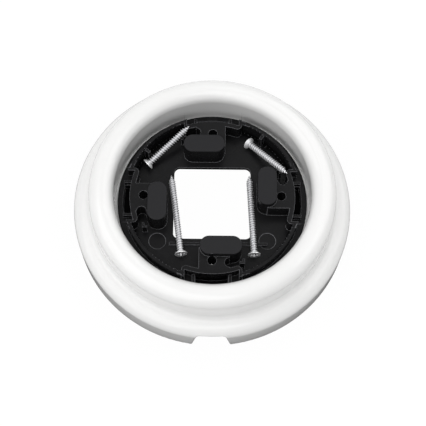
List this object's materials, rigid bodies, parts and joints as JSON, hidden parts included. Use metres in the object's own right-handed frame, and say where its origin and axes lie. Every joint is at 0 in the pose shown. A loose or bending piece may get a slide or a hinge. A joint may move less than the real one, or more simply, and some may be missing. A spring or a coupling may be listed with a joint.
{
  "type": "surface mounting frame for a wall socket",
  "caption": "Round stepped porcelain surround with a moulded fixing plate seated in its throat, a cable notch in the foot and loose screws lying in the plate.",
  "frame": {"origin": "centre of the round foot, in the plane of the wall that the frame is fixed to", "axes": "+Z along the frame's axis, away from the wall and out of the throat; -Y towards the cable notch"},
  "size_m": [0.1224, 0.122, 0.034],
  "materials": {
    "porcelain": "glossy white glaze",
    "black_plastic": "moulded, semi-gloss black",
    "zinc_steel": "bright zinc plating"
  },
  "bodies": {
    "root": {"porcelain_surround": "porcelain", "mounting_plate": "black_plastic", "long_screw_left": "zinc_steel", "long_screw_right": "zinc_steel", "short_screw_left": "zinc_steel", "short_screw_right": "zinc_steel"}
  },
  "joints": []
}
